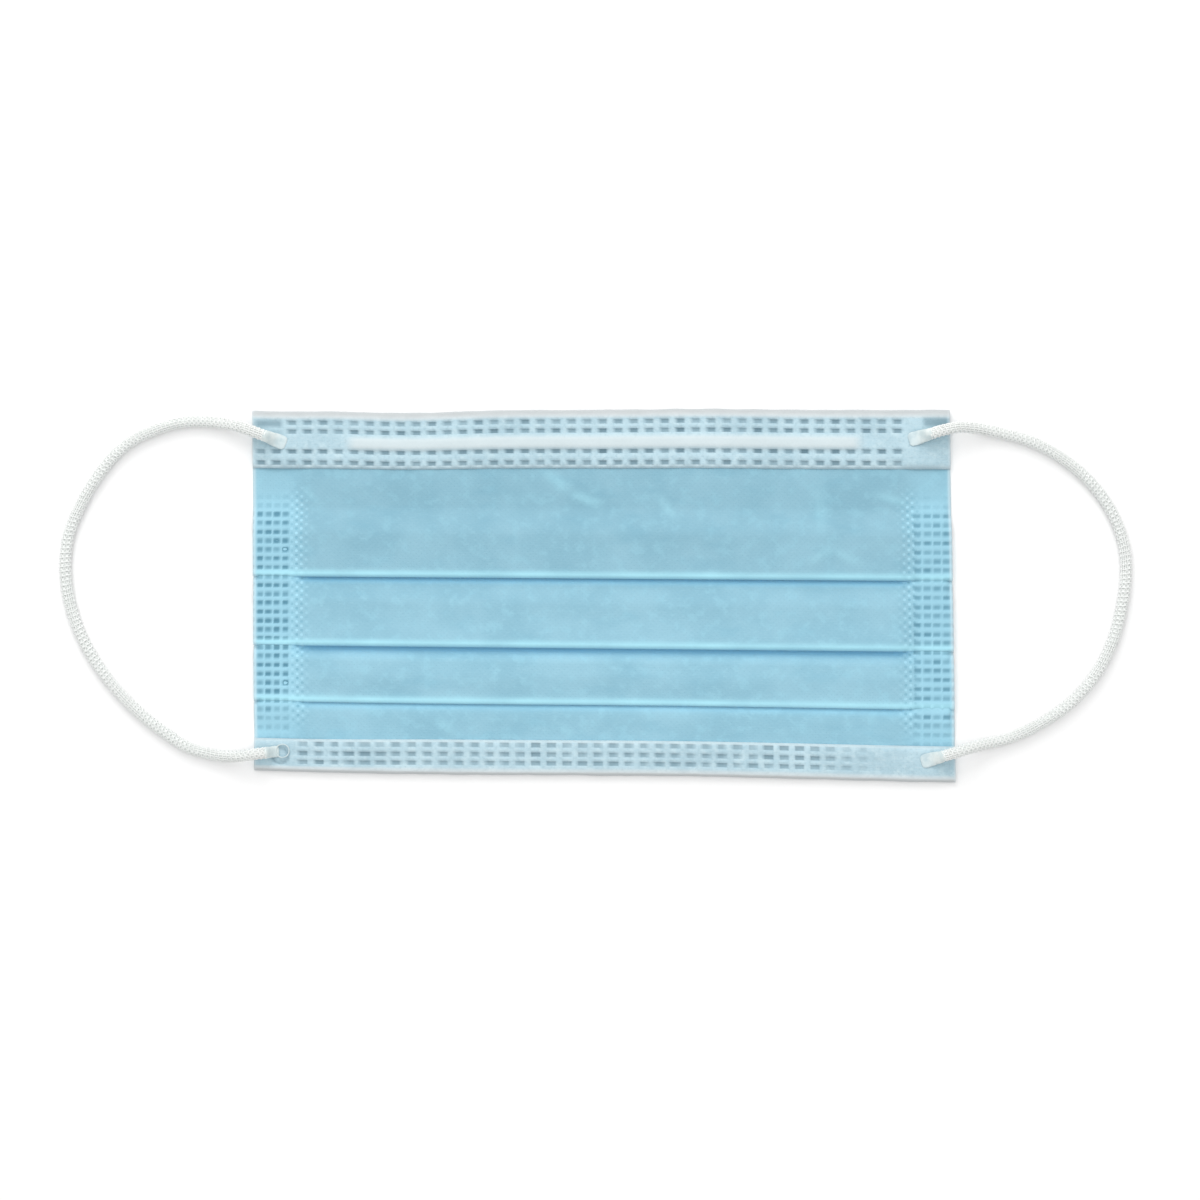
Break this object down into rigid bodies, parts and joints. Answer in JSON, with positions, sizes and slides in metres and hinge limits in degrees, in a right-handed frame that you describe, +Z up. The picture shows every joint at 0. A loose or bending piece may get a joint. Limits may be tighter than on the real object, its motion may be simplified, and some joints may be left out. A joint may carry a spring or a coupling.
{
  "type": "pleated surgical face mask",
  "caption": "Flat pleated surgical face mask with blue outer cloth, white turned-over hems, a bendable nose wire and round elastic ear loops.",
  "frame": {"origin": "on the surface that the mask lies on, under the middle of the mask without its ear loops", "axes": "+X along the long side to the right as seen from the front, +Y towards the nose edge, +Z up, out of the blue outer face"},
  "size_m": [0.2674, 0.0932, 0.007],
  "materials": {
    "outer_ply": "matt pale blue spunbond nonwoven with fine bond points and a soft fibre mottle",
    "inner_ply": "matt white spunbond nonwoven, thin enough to let a little blue through",
    "wire_coating": "satin white coated wire strip",
    "elastic": "soft white knitted round elastic"
  },
  "bodies": {
    "root": {"pleated_body": "outer_ply", "nose_hem": "inner_ply", "chin_hem": "inner_ply", "nose_wire": "wire_coating", "ear_loop_left": "elastic", "loop_end_nose_left": "elastic", "loop_end_chin_left": "elastic", "ear_loop_right": "elastic", "loop_end_nose_right": "elastic", "loop_end_chin_right": "elastic"}
  },
  "joints": []
}
